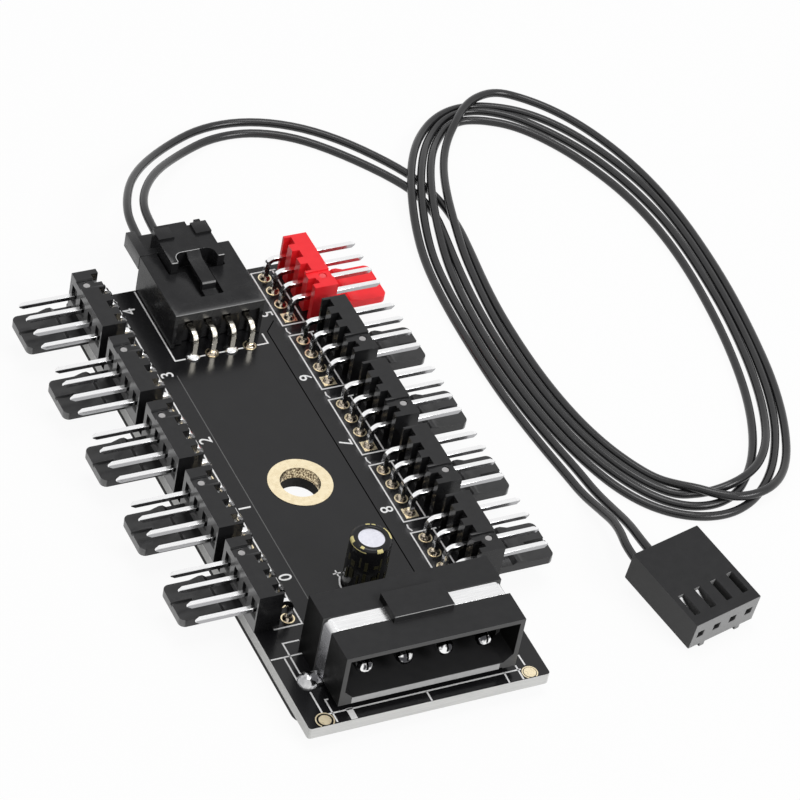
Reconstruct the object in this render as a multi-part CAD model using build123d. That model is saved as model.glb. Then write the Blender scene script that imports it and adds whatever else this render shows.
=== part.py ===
from build123d import *
import math
import os

os.makedirs("parts", exist_ok=True)

# A fan hub: a bare circuit board with two rows of fan headers, a four-pin power inlet at the front,
# a control connector with its lead at the back, and an insulating pad underneath.
# X runs across the board, Y from the power inlet to the control connector, Z up.
# The origin is on the mounting hole's axis, in the plane that the pad rests on. Millimetres.

# Board, and the insulating pad stuck under it
board_length = 74.6
board_width = 30.8
board_thickness = 1.6
board_corner = 0.4
pad_thickness = 1.5
pad_setback = 0.45
pad_front_setback = 3.3
pad_corner = 2.0

# Plated mounting hole in the middle, and the two round gold marks at the front corners
hole_diameter = 5.0
barrel_plating = 0.035
plating = 0.06
ring_diameter = 8.0
mark_diameter = 1.5
mark_inset_x = 2.3
mark_inset_y = 0.85

# Square header pins, their plated pads and holes
pin_pitch = 2.54
pins_per_header = 4
pin_side = 0.64
pin_bend = 0.95
pin_point = 0.55
pad_diameter = 1.7
solder_foot = 1.4
solder_neck = 0.92
pin_hole = 1.0
solder_height = 0.4

# Fan headers, right-angle with a polarising tab
headers_per_side = 5
rear_header_inset = 5.93
front_header_inset = 20.67
pin_row_inset = 4.71
header_length = 9.7
header_depth = 3.16
header_height = 5.6
header_overhang = 0.06
header_first_end = 0.4
right_row_shift = 0.55
comb_depth = 0.95
comb_slot = 1.3
pocket_depth = 0.45
pocket_width = 1.5
pocket_height = 2.6
pin_height = 3.05
pin_reach = 7.3
tab_reach = 7.9
tab_width = 6.0
tab_thickness = 1.05
tab_corner = 0.8
ridge_height = 0.4
ridge_length = 2.1
ridge_start = 2.3
tab_groove = 0.5
tab_groove_depth = 0.3
dot_diameter = 1.0
dot_depth = 0.25
dot_from_end = 2.3
ear_length = 1.5
dip_length = 1.5
dip_depth = 0.25

# Power inlet, four round pins in a shroud with a neck behind it
inlet_width = 22.7
inlet_height = 8.65
inlet_setback = 1.55
inlet_wall = 0.6
inlet_lift = 1.0
shroud_length = 4.35
neck_length = 2.3
neck_inset = 0.5
neck_drop = 0.45
block_length = 4.0
foot_width = 1.7
foot_rise = 1.0
sill_lift = 0.15
cavity_depth = 7.5
bridge_width = 7.6
bridge_rise = 1.0
bridge_overlap = 1.1
inlet_pitch = 5.08
inlet_pins = 4
inlet_pin_diameter = 2.1
inlet_pin_height = 4.6
inlet_pin_recess = 1.25
inlet_slit = 0.25
inlet_slit_length = 1.6
inlet_tail = 1.3
inlet_tail_from_back = 1.7
strap_thickness = 0.4
strap_width = 2.1
strap_corner = 1.0
strap_foot = 1.6
dome_diameter = 2.7
dome_height = 1.0

# Radial electrolytic capacitor
capacitor_x = 0.2
capacitor_y = -17.6
capacitor_diameter = 5.0
capacitor_height = 7.6
sleeve = 0.2
sleeve_window = 3.15
sleeve_shoulder = 0.5
sleeve_tuck = 0.1
can_shoulder = 0.4
seal_height = 0.4
seal_gap = 0.2
lead_pitch = 2.0
lead_diameter = 0.5
lead_hole = 0.8

# Control header at the back edge, with its latched plug
control_width = 12.0
control_length = 11.5
control_height = 5.45
control_overhang = 0.2
control_front_wall = 1.3
control_side_wall = 1.05
control_roof = 0.85
control_floor = 1.8
control_lip = 0.5
control_lip_height = 1.3
control_slot = 1.1
control_pin_height = 3.25
control_pad_gap = 1.9
control_pin_length = 5.2
window_width = 3.1
window_length = 4.8
window_setback = 2.6
latch_slot_width = 7.6
fit_gap = 0.1
plug_front_gap = 0.9
plug_rear_length = 4.6
ear_thickness = 2.15
latch_block_width = 7.1
latch_block_rise = 1.55
latch_block_rear = 1.5
latch_opening = 5.3
latch_opening_depth = 1.8
latch_opening_round = 1.08
latch_notch = 0.8
latch_notch_start = 1.1
latch_notch_width = 1.2
latch_corner_notch = 0.45
tongue_width = 1.8
tongue_thickness = 0.6
tongue_lift = 0.35
tongue_ramp = 1.0
tongue_nose = 0.35
hook_length = 1.1
hook_step = 0.15
hook_drop = 0.9
grip_length = 2.0
grip_width = 2.1
grip_height = 0.35
channel = 1.6
terminal_length = 7.0
terminal_bore = 0.8

# Plug on the far end of the lead, lying on the surface beside the board
far_plug_x = 38.2
far_plug_y = -29.3
far_plug_turn = 13.0
far_plug_tilt = 6.0
far_plug_width = 10.1
far_plug_length = 12.3
far_plug_height = 4.3
far_rib_height = 0.6
far_rib_width = 0.8
far_rib_spread = 5.6
far_front_wall = 0.9
far_front_hole = 1.0
far_slot_width = 0.9
far_slot_length = 3.2
far_slot_from_front = 1.5
far_terminal_length = 9.0
lance_width = 0.4
lance_rise = 0.95

# Control lead: two thin wires, and the oval coil that they are wound into
wire_diameter = 1.1
coil_x = 51.8
coil_y = 23.0
coil_half_width = 20.2
coil_half_length = 41.9
coil_band = 6.4
coil_height = 2.6
coil_turn = -2.5

# Heights and edges that several pieces share
board_top = pad_thickness + board_thickness
board_front = -board_length / 2
board_back = board_length / 2
header_outer_x = board_width / 2 + header_overhang
header_inner_x = header_outer_x - header_depth
header_pitch = (board_length - rear_header_inset - front_header_inset) / (headers_per_side - 1)
rear_header_y = board_back - rear_header_inset
pin_row_x = board_width / 2 - pin_row_inset
pin_offsets = [(i - (pins_per_header - 1) / 2) * pin_pitch for i in range(pins_per_header)]
header_centres = [rear_header_y - header_pitch * i for i in range(headers_per_side)]
control_back = board_back + control_overhang
control_front = control_back - control_length
control_pad_y = control_front - control_pad_gap
inlet_front = board_front + inlet_setback
shroud_back = inlet_front + shroud_length
block_front = shroud_back + neck_length
block_back = block_front + block_length
inlet_offsets = [(i - (inlet_pins - 1) / 2) * inlet_pitch for i in range(inlet_pins)]
inlet_tail_y = block_back - inlet_tail_from_back


def block(x, y, z):
    """A box between two values along each axis."""
    middle = Pos((x[0] + x[1]) / 2, (y[0] + y[1]) / 2, (z[0] + z[1]) / 2)
    return middle * Box(x[1] - x[0], y[1] - y[0], z[1] - z[0])


def rod(x, y, z, diameter):
    """An upright round bar between two heights."""
    return Pos(x, y, (z[0] + z[1]) / 2) * Cylinder(diameter / 2, z[1] - z[0])


def square_bar(x, z, y, side):
    """A square bar lying along Y."""
    return block((x - side / 2, x + side / 2), y, (z - side / 2, z + side / 2))


def save(node, *solids):
    """Write one sub-part, as one solid or as a group of separate solids."""
    pieces = [piece for shape in solids for piece in shape.solids()]
    shape = pieces[0] if len(pieces) == 1 else Compound(children=pieces)
    export_step(shape, f"parts/{node}.step")


def bent_pin(rise, reach):
    """A square pin that comes up through the board at x = 0 and turns over towards +X.

    Heights are from the board's top; the far tip is pointed.
    """
    corner = Vector(0, 0, rise)
    path = FilletPolyline((0, 0, -board_thickness), corner, (reach - pin_point, 0, rise), radius=pin_bend)
    bar = sweep(Plane.XY.offset(-board_thickness) * Rectangle(pin_side, pin_side), path=path)
    end = Plane(origin=(reach - pin_point, 0, rise), x_dir=(0, 1, 0), z_dir=(1, 0, 0))
    point = extrude(end * Rectangle(pin_side, pin_side), amount=pin_point, taper=20)
    return bar + point


def pin_solder():
    """Solder filling a pin's plated hole, with a low fillet on the pad around the pin."""
    fill = rod(0, 0, (-board_thickness, plating), pin_hole)
    collar = Pos(0, 0, plating + solder_height / 2) * Cone(solder_foot / 2, solder_neck / 2, solder_height)
    return fill + collar - block((-pin_side / 2, pin_side / 2), (-pin_side / 2, pin_side / 2),
                                 (-board_thickness, pin_height / 2))


def pin_pad(square):
    """The gold pad around a pin's hole; the first pin's pad is square."""
    outline = Rectangle(pad_diameter, pad_diameter) if square else Circle(pad_diameter / 2)
    return extrude(outline - Circle(pin_hole / 2), amount=plating)


# Fan headers

def fan_header():
    """Housing of one fan header, for the +X row: comb wall on the board, tab reaching outwards.

    y is measured from the header's middle, z from the board's top; the first pin is at -y.
    """
    half = header_length / 2
    first_end = -half - header_first_end
    wall = block((header_inner_x, header_outer_x), (first_end, half), (0, header_height))
    for y in pin_offsets:
        wall -= block((header_inner_x, header_inner_x + comb_depth), (y - comb_slot / 2, y + comb_slot / 2),
                      (0, header_height))
        wall -= block((header_outer_x - pocket_depth, header_outer_x),
                      (y - pocket_width / 2, y + pocket_width / 2),
                      (pin_height - pocket_height / 2, pin_height + pocket_height / 2))
        wall -= block((header_inner_x, header_outer_x), (y - pin_side / 2, y + pin_side / 2),
                      (pin_height - pin_side / 2, pin_height + pin_side / 2))
    dip_start = first_end + ear_length
    wall -= block((header_inner_x, header_outer_x), (dip_start, dip_start + dip_length),
                  (header_height - dip_depth, header_height))
    dot_x = (header_inner_x + comb_depth + header_outer_x) / 2
    dot_floor = header_height - dip_depth - dot_depth
    wall -= rod(dot_x, first_end + dot_from_end, (dot_floor, header_height), dot_diameter)

    tab_end = header_outer_x + tab_reach
    tab_y = (pin_offsets[0] + pin_offsets[2]) / 2
    tab_sides = (tab_y - tab_width / 2, tab_y + tab_width / 2)
    tab = block((header_outer_x, tab_end), tab_sides, (0, tab_thickness))
    tab = fillet(tab.edges().filter_by(Axis.Z).sort_by(Axis.X)[-2:], tab_corner)
    ridge_x = header_outer_x + ridge_start
    ridge_top = tab_thickness + ridge_height
    outline = Plane.XZ * Polyline((ridge_x, tab_thickness), (ridge_x + ridge_length / 4, ridge_top),
                                  (ridge_x + ridge_length / 2, ridge_top),
                                  (ridge_x + ridge_length, tab_thickness), close=True)
    ridge = extrude(make_face(outline), amount=tab_width / 2, both=True)
    tab += Pos(0, tab_y, 0) * ridge
    groove_x = ridge_x + ridge_length + tab_corner
    tab -= block((groove_x, tab_end), (tab_y - tab_groove / 2, tab_y + tab_groove / 2),
                 (tab_thickness - tab_groove_depth, tab_thickness))
    return wall + tab


housing = fan_header()
fan_pin = Pos(pin_row_x, 0, 0) * bent_pin(pin_height, header_outer_x + pin_reach - pin_row_x)
header_places = []
for i, y in enumerate(header_centres):
    header_places.append((headers_per_side - 1 - i, Pos(0, y, board_top) * Rot(0, 0, 180), 0))
    header_places.append((headers_per_side + i, Pos(0, y, board_top), right_row_shift))

fan_solder = []
round_pads = []
for port, place, shift in header_places:
    save(f"fan_header_{port}", place * Pos(shift, 0, 0) * housing)
    save(f"fan_pins_{port}", *[place * Pos(0, y, 0) * fan_pin for y in pin_offsets])
    for i, y in enumerate(pin_offsets):
        fan_solder.append(place * Pos(pin_row_x, y, 0) * pin_solder())
        round_pads.append(place * Pos(pin_row_x, y, 0) * pin_pad(square=i == 0))
save("fan_pin_solder", *fan_solder)

# Power inlet

def inlet_pin():
    """One round contact: split bullet nose at the front, thin tail down through the board."""
    radius = inlet_pin_diameter / 2
    nose_y = inlet_front + inlet_pin_recess
    length = inlet_tail_y + inlet_tail - nose_y
    barrel = Pos(0, nose_y + length / 2, 0) * Rot(90, 0, 0) * Cylinder(radius, length)
    barrel = fillet(barrel.edges().sort_by(Axis.Y)[0], radius * 0.8)
    slit_end = nose_y + inlet_slit_length
    barrel -= block((-inlet_slit / 2, inlet_slit / 2), (nose_y, slit_end), (0, inlet_pin_diameter))
    barrel = Pos(0, 0, inlet_pin_height) * barrel
    return barrel + rod(0, inlet_tail_y, (-board_thickness, inlet_pin_height), inlet_tail)


def inlet_housing(pins, strap):
    """Shroud, neck, rear block and the raised bridge across the neck, moulded as one."""
    half = inlet_width / 2
    neck_half = half - neck_inset
    neck_top = inlet_height - neck_drop
    body = block((-half, half), (inlet_front, shroud_back), (inlet_lift, inlet_height))
    body += block((-neck_half, neck_half), (shroud_back, block_front), (inlet_lift, neck_top))
    body += block((-half, half), (block_front, block_back), (0, inlet_height))
    body += block((-bridge_width / 2, bridge_width / 2),
                  (shroud_back - inlet_wall, block_front + bridge_overlap),
                  (neck_top, inlet_height + bridge_rise))
    mouth = block((-half + inlet_wall, half - inlet_wall), (inlet_front, shroud_back - inlet_wall),
                  (inlet_lift + foot_rise, inlet_height - inlet_wall))
    corners = mouth.edges().filter_by(Axis.Y).group_by(Axis.Z)[0]
    mouth = chamfer(corners, foot_width - inlet_wall)
    neck_hole = block((-neck_half + inlet_wall, neck_half - inlet_wall),
                      (shroud_back - inlet_wall, inlet_front + cavity_depth),
                      (inlet_lift + foot_rise, neck_top - inlet_wall))
    body -= mouth
    body -= neck_hole
    sill = block((-half + foot_width, half - foot_width), (inlet_front, inlet_front + inlet_wall),
                 (inlet_lift, inlet_lift + sill_lift))
    body -= sill
    body -= strap
    for pin in pins:
        body -= pin
    return body


def inlet_strap():
    """Bent metal strip over the neck, its two feet turned out onto the board."""
    half = inlet_width / 2 - neck_inset
    top = inlet_height - neck_drop
    y = ((shroud_back + block_front - strap_width) / 2, (shroud_back + block_front + strap_width) / 2)
    outer = block((-half - strap_thickness, half + strap_thickness), y, (0, top + strap_thickness))
    outer = fillet(outer.edges().filter_by(Axis.Y).group_by(Axis.Z)[-1], strap_corner)
    strap = outer - block((-half, half), y, (0, top))
    for side in (-1, 1):
        reach = sorted((side * half, side * (half + strap_foot)))
        strap += block(reach, y, (0, strap_thickness))
    return strap


on_board = Pos(0, 0, board_top)
inlet_pin_solids = [Pos(x, 0, 0) * inlet_pin() for x in inlet_offsets]
strap_solid = inlet_strap()
save("power_inlet_housing", on_board * inlet_housing(inlet_pin_solids, strap_solid))
save("power_inlet_pins", *[on_board * pin for pin in inlet_pin_solids])
save("power_inlet_strap", on_board * strap_solid)

dome_x = inlet_width / 2 - neck_inset + strap_foot
dome_y = (shroud_back + block_front) / 2
dome_sphere = (dome_diameter ** 2 / 4 + dome_height ** 2) / (2 * dome_height)
dome = Pos(0, 0, dome_height - dome_sphere) * Sphere(dome_sphere)
dome &= block((-dome_diameter, dome_diameter), (-dome_diameter, dome_diameter), (0, dome_height))
strap_solder = []
for side in (-1, 1):
    strap_solder.append(on_board * (Pos(side * dome_x, dome_y, 0) * dome - strap_solid))
save("power_inlet_solder", *strap_solder)

# Capacitor

can_radius = capacitor_diameter / 2 - sleeve
can_form = rod(0, 0, (0, capacitor_height - sleeve), 2 * can_radius)
can_form = fillet(can_form.edges().group_by(Axis.Z)[-1], can_shoulder)
can = can_form - rod(0, 0, (0, seal_height), capacitor_diameter)
sleeve_body = rod(0, 0, (seal_height - sleeve_tuck, capacitor_height), capacitor_diameter)
sleeve_body = fillet(sleeve_body.edges().group_by(Axis.Z)[-1], sleeve_shoulder)
sleeve_body -= can_form
sleeve_body -= rod(0, 0, (0, capacitor_height), sleeve_window)
seal = rod(0, 0, (0, seal_height), 2 * (can_radius - seal_gap))
lead = rod(0, 0, (-board_thickness, seal_height), lead_diameter)
leads = [Pos(side * lead_pitch / 2, 0, 0) * lead for side in (-1, 1)]
lead_fill = rod(0, 0, (-board_thickness, 0), lead_hole) - lead
lead_fills = [Pos(side * lead_pitch / 2, 0, 0) * lead_fill for side in (-1, 1)]
for wire in leads:
    seal -= wire
capacitor_place = Pos(capacitor_x, capacitor_y, board_top)
save("capacitor_can", capacitor_place * can)
save("capacitor_sleeve", capacitor_place * sleeve_body)
save("capacitor_seal", capacitor_place * seal)
save("capacitor_leads", *[capacitor_place * wire for wire in leads])
save("capacitor_solder", *[capacitor_place * fill for fill in lead_fills])

# Control header and its plug

cavity_half = control_width / 2 - control_side_wall
cavity = (control_floor, control_height - control_roof)
control_pin = Rot(0, 0, 90) * bent_pin(control_pin_height, control_pad_gap + control_pin_length)
control_pins = [Pos(x, control_pad_y, 0) * control_pin for x in pin_offsets]


def control_housing():
    """Shrouded header, open to the back, with a latch window and slot in its roof."""
    half = control_width / 2
    body = block((-half, half), (control_front, control_back), (0, control_height))
    body -= block((-cavity_half, cavity_half), (control_front + control_front_wall, control_back), cavity)
    body -= block((-half + control_lip, half - control_lip), (control_front, control_front + control_lip),
                  (0, control_height - control_lip_height))
    window_y = control_front + window_setback
    opened = (cavity[0], control_height)
    body -= block((-window_width / 2, window_width / 2), (window_y, control_back), opened)
    body -= block((-latch_slot_width / 2, latch_slot_width / 2),
                  (window_y + window_length, control_back), opened)
    for x in pin_offsets:
        body -= block((x - control_slot / 2, x + control_slot / 2),
                      (control_front, control_front + 2 * control_lip),
                      (0, control_pin_height + control_slot / 2))
        body -= square_bar(x, control_pin_height, (control_front, control_back), pin_side)
    return body


def control_plug():
    """Plug body in the header's cavity, with a side ear, the latch block above and its hooked tongue."""
    half = cavity_half - fit_gap
    low = cavity[0] + fit_gap
    high = cavity[1] - fit_gap
    nose_y = control_front + control_front_wall + plug_front_gap
    rear_y = control_back + plug_rear_length
    body = block((-half, half), (nose_y, rear_y), (low, high))
    ear = (control_height - ear_thickness, control_height)
    body += block((-control_width / 2, 0), (control_back, rear_y), ear)
    body -= block((-half, 0), (control_back + control_side_wall, rear_y), (high, control_height))

    latch_front = control_front + window_setback + window_length + fit_gap
    latch_rear = rear_y - latch_block_rear
    latch_top = control_height + latch_block_rise
    latch_half = latch_block_width / 2
    latch = block((-latch_half, latch_half), (latch_front, latch_rear), (high, latch_top))
    opening = block((-latch_opening / 2, latch_opening / 2), (latch_front, latch_front + latch_opening_depth),
                    (high, latch_top))
    opening = fillet(opening.edges().filter_by(Axis.Z).group_by(Axis.Y)[-1], latch_opening_round)
    latch -= opening
    notch_y = (latch_rear - latch_notch, latch_rear)
    latch -= block((-latch_half, -latch_half + latch_corner_notch), notch_y, (high, latch_top))
    latch -= block((latch_half - latch_corner_notch, latch_half), notch_y, (high, latch_top))
    latch -= block((latch_notch_start, latch_notch_start + latch_notch_width), notch_y, (high, latch_top))
    for side in (-1, 1):
        x = sorted((side * latch_half, side * (latch_half - grip_width)))
        latch += block(x, (notch_y[0] - grip_length, notch_y[0]), (latch_top, latch_top + grip_height))
    body += latch

    hook_front = control_front + window_setback + fit_gap
    hook_back = hook_front + hook_length
    hook_low = control_height - hook_drop
    tongue_low = control_height + tongue_lift
    tongue_top = tongue_low + tongue_thickness
    tongue_x = (-tongue_width / 2, tongue_width / 2)
    root_y = latch_front + latch_opening_depth
    tongue = block(tongue_x, (hook_back, root_y), (tongue_low, tongue_top))
    tongue += block(tongue_x, (hook_back, hook_back + tongue_thickness), (hook_low, tongue_top))
    tongue = fillet(tongue.edges().filter_by(Axis.X).group_by(Axis.Z)[-1].sort_by(Axis.Y)[0], tongue_nose)
    tongue += block(tongue_x, (hook_front, hook_back), (hook_low, control_height - hook_step))
    ramp = Plane.YZ * Polyline((root_y, tongue_top), (root_y, latch_top),
                               (root_y - tongue_ramp, tongue_top), close=True)
    tongue += extrude(make_face(ramp), amount=tongue_width / 2, both=True)
    body += tongue
    for x in pin_offsets:
        body -= square_bar(x, control_pin_height, (nose_y, rear_y), channel)
    return body


def control_terminal():
    """Crimped box contact: a square sleeve around the header's pin and a closed end for the wire."""
    start = control_front + control_front_wall + plug_front_gap
    bar = square_bar(0, control_pin_height, (start, start + terminal_length), channel)
    pin_end = control_pad_y + control_pad_gap + control_pin_length + fit_gap
    return bar - square_bar(0, control_pin_height, (start, pin_end), terminal_bore)


wired = pin_offsets[:2]
save("control_header_housing", on_board * control_housing())
save("control_header_pins", *[on_board * pin for pin in control_pins])
save("control_plug_housing", on_board * control_plug())
save("control_plug_terminals", *[on_board * Pos(x, 0, 0) * control_terminal() for x in wired])
control_solder = []
for x in pin_offsets:
    control_solder.append(Pos(x, control_pad_y, board_top) * pin_solder())
    round_pads.append(Pos(x, control_pad_y, board_top) * pin_pad(square=False))
save("control_pin_solder", *control_solder)
save("through_hole_pads", *round_pads)

# Board, plating, marks and insulating pad

hole_wall = hole_diameter + 2 * barrel_plating
board = extrude(RectangleRounded(board_width, board_length, board_corner), amount=board_thickness)
drills = [rod(0, 0, (0, board_thickness), hole_wall)]
for side in (-1, 1):
    for y in header_centres:
        for offset in pin_offsets:
            drills.append(rod(side * pin_row_x, y + offset, (0, board_thickness), pin_hole))
    drills.append(rod(capacitor_x + side * lead_pitch / 2, capacitor_y, (0, board_thickness), lead_hole))
drills += [rod(x, control_pad_y, (0, board_thickness), pin_hole) for x in pin_offsets]
drills += [rod(x, inlet_tail_y, (0, board_thickness), inlet_tail) for x in inlet_offsets]
board -= drills
save("circuit_board", Pos(0, 0, pad_thickness) * board)

barrel = extrude(Circle(hole_wall / 2) - Circle(hole_diameter / 2), amount=board_thickness)
ring = extrude(Circle(ring_diameter / 2) - Circle(hole_diameter / 2), amount=plating)
save("mounting_hole_plating", Pos(0, 0, pad_thickness) * (barrel + Pos(0, 0, board_thickness) * ring))

mark = Cylinder(mark_diameter / 2, plating)
mark_x = board_width / 2 - mark_inset_x
mark_y = board_front + mark_inset_y
save("corner_marks", *[Pos(side * mark_x, mark_y, board_top + plating / 2) * mark for side in (-1, 1)])

pad_length = board_length - pad_front_setback - pad_setback
pad_y = (pad_front_setback - pad_setback) / 2
pad_outline = Pos(0, pad_y) * RectangleRounded(board_width - 2 * pad_setback, pad_length, pad_corner)
save("insulating_pad", extrude(pad_outline - Circle(hole_diameter / 2), amount=pad_thickness))

# Far plug, built upright at the origin with its front towards -Y, then laid in place

far_turn = Rot(0, 0, far_plug_turn) * Rot(far_plug_tilt, 0, 0)
far_lift = far_plug_length / 2 * math.sin(math.radians(far_plug_tilt))
far_place = Pos(far_plug_x, far_plug_y, far_lift) * far_turn
far_axis_z = far_rib_height + far_plug_height / 2
far_front = -far_plug_length / 2
far_terminal_end = far_front + far_front_wall + far_terminal_length


def far_housing():
    """Four-way female housing with keying ribs below, slots on top and a square hole for each pin."""
    half = far_plug_width / 2
    body = block((-half, half), (far_front, -far_front), (far_rib_height, far_rib_height + far_plug_height))
    for side in (-1, 1):
        x = side * far_rib_spread / 2
        sides = (x - far_rib_width / 2, x + far_rib_width / 2)
        body += block(sides, (far_front, -far_front), (0, far_rib_height))
    for x in pin_offsets:
        body -= square_bar(x, far_axis_z, (far_front + far_front_wall, -far_front), channel)
        body -= square_bar(x, far_axis_z, (far_front, far_front + far_front_wall), far_front_hole)
        slot_y = far_front + far_slot_from_front
        body -= block((x - far_slot_width / 2, x + far_slot_width / 2), (slot_y, slot_y + far_slot_length),
                      (far_axis_z, far_rib_height + far_plug_height))
    return body


def far_terminal():
    """Crimped box contact in the far plug, its mouth behind the front wall and its lance in the slot."""
    start = far_front + far_front_wall
    bar = square_bar(0, far_axis_z, (start, far_terminal_end), channel)
    bar -= square_bar(0, far_axis_z, (start, start + far_slot_length + far_slot_from_front), terminal_bore)
    top = far_axis_z + channel / 2
    slot_front = far_front + far_slot_from_front
    slot_back = slot_front + far_slot_length - fit_gap
    outline = Plane.YZ * Polyline((slot_front, top), (slot_back, top),
                                  (slot_back, top + lance_rise), close=True)
    return bar + extrude(make_face(outline), amount=lance_width / 2, both=True)


save("far_plug_housing", far_place * far_housing())
save("far_plug_terminals", *[far_place * Pos(x, 0, 0) * far_terminal() for x in wired])

# Control lead: a pair of wires from the plug to the coil, the coil, and the pair on to the far plug

coil_outer = Ellipse(coil_half_width, coil_half_length)
coil_inner = Ellipse(coil_half_width - coil_band, coil_half_length - coil_band)
coil_place = Pos(coil_x, coil_y, 0) * Rot(0, 0, coil_turn)
save("lead_coil", coil_place * extrude(coil_outer - coil_inner, amount=coil_height))

wire_start_y = control_front + control_front_wall + plug_front_gap + terminal_length
wire_start_z = board_top + control_pin_height
plug_back_y = control_back + plug_rear_length
wire_low = wire_diameter / 2
hub_routes = [
    [(wired[0], wire_start_y, wire_start_z), (wired[0], plug_back_y + 2.6, wire_start_z), (-2.3, 50.4, 5.7),
     (1.6, 57.2, 3.9), (8.6, 63.9, 1.2), (16.4, 67.6, wire_low), (24.4, 66.8, wire_low),
     (32.0, 62.0, wire_low), (38.6, 54.8, wire_low), (44.4, 46.6, wire_low)],
    [(wired[1], wire_start_y, wire_start_z), (wired[1], plug_back_y + 2.4, wire_start_z), (0.2, 50.3, 5.9),
     (4.3, 56.4, 4.2), (10.4, 62.0, 1.5), (16.8, 65.2, wire_low), (23.3, 64.7, wire_low),
     (29.8, 60.6, wire_low), (35.9, 54.0, wire_low), (42.0, 45.2, wire_low)],
]


def far_point(x, y, z):
    """A point of the far plug's own frame, in the part's frame."""
    return tuple((far_place * Pos(x, y, z)).position)


far_routes = [
    [far_point(wired[0], far_terminal_end, far_axis_z), far_point(wired[0], -far_front + 1.6, far_axis_z),
     (33.5, -17.6, 3.5), (34.0, -12.3, 1.6), (33.8, -7.4, wire_low), (33.3, -2.9, wire_low),
     (35.1, 1.1, wire_low)],
    [far_point(wired[1], far_terminal_end, far_axis_z), far_point(wired[1], -far_front + 1.4, far_axis_z),
     (35.6, -17.9, 3.3), (35.8, -13.6, 1.6), (35.2, -9.4, wire_low), (37.4, -5.6, wire_low)],
]


def wire_tube(name, points):
    """A round tube along straight runs with the largest tangent arcs that the runs allow."""
    points = [Vector(*point) for point in points]
    radii = []
    for before, here, after in zip(points, points[1:], points[2:]):
        first = here - before
        second = after - here
        half_turn = math.radians(first.get_angle(second)) / 2
        radii.append(0.45 * min(first.length, second.length) / math.tan(half_turn))
    path = FilletPolyline(*points, radius=radii)
    start = Plane(origin=points[0], z_dir=points[1] - points[0])
    tube = sweep(start * Circle(wire_diameter / 2), path=path)
    ideal = math.pi * wire_diameter ** 2 / 4 * path.length
    print(name, "length", round(path.length, 1), "volume", round(tube.volume / ideal, 4),
          "radii", [round(radius, 1) for radius in radii])
    return tube


def coil_face(outside, inside):
    """The upright plane that touches the coil's rim where the run from outside to inside meets it."""
    first = (coil_place.inverse() * Pos(*outside)).position
    step = (coil_place.inverse() * Pos(*inside)).position - first
    across = first.X / coil_half_width, step.X / coil_half_width
    along = first.Y / coil_half_length, step.Y / coil_half_length
    squares = across[1] ** 2 + along[1] ** 2
    products = across[0] * across[1] + along[0] * along[1]
    excess = across[0] ** 2 + along[0] ** 2 - 1
    share = (-products - math.sqrt(products ** 2 - squares * excess)) / squares
    touch = first + step * share
    outward = Vector(touch.X / coil_half_width ** 2, touch.Y / coil_half_length ** 2, 0)
    return Plane(origin=(coil_place * Pos(*touch)).position, z_dir=outward.rotate(Axis.Z, coil_turn))


for letter, hub_route, far_route in zip("ab", hub_routes, far_routes):
    for name, route in ((f"hub_wire_{letter}", hub_route), (f"far_wire_{letter}", far_route)):
        save(name, split(wire_tube(name, route), bisect_by=coil_face(route[-2], route[-1]), keep=Keep.TOP))
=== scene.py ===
import math
import bmesh
import bpy
import numpy
from mathutils import Matrix, Vector


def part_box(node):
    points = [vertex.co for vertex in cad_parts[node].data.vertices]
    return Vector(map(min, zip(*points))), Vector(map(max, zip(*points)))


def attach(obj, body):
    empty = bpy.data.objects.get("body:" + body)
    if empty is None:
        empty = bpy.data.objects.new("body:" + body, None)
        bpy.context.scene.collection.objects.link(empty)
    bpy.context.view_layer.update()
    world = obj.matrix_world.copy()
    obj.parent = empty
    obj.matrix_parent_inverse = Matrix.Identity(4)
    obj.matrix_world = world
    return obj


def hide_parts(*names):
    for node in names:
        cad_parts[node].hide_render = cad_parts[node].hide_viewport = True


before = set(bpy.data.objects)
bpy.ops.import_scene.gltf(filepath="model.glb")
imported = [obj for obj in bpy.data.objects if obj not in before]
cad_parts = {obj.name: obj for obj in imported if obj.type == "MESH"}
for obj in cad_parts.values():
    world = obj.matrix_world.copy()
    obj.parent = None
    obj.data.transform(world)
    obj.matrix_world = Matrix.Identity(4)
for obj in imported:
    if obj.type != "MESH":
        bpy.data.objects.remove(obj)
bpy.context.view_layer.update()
MM = 0.001

# Circuit board: a sheet of glass-fibre laminate under black semi-gloss solder mask.
# It is milled from a larger panel, so its cut edges are bare and grey, with the glass layers showing.

MASK_DARK = (0.007, 0.007, 0.008)
MASK_LIGHT = (0.012, 0.012, 0.013)
CUT_DARK = (0.56, 0.56, 0.55)
CUT_LIGHT = (0.78, 0.78, 0.76)
MASK_ROUGHNESS = 0.2
CUT_ROUGHNESS = 0.6


def new_finish(name):
    """A material with its node tree, its shader and the object's own coordinates, in metres."""
    material = bpy.data.materials.new(name)
    material.use_nodes = True
    tree = material.node_tree
    place = tree.nodes.new("ShaderNodeTexCoord").outputs["Object"]
    return material, tree, tree.nodes["Principled BSDF"], place


def grain(tree, place, size, detail=2.0):
    """Soft noise whose lumps are about this size."""
    noise = tree.nodes.new("ShaderNodeTexNoise")
    noise.inputs["Scale"].default_value = 1 / size
    noise.inputs["Detail"].default_value = detail
    tree.links.new(place, noise.inputs["Vector"])
    return noise.outputs["Fac"]


def stretched(tree, place, scale):
    """The same coordinates, drawn out by a factor along each axis."""
    mapping = tree.nodes.new("ShaderNodeMapping")
    mapping.inputs["Scale"].default_value = scale
    tree.links.new(place, mapping.inputs["Vector"])
    return mapping.outputs["Vector"]


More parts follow.
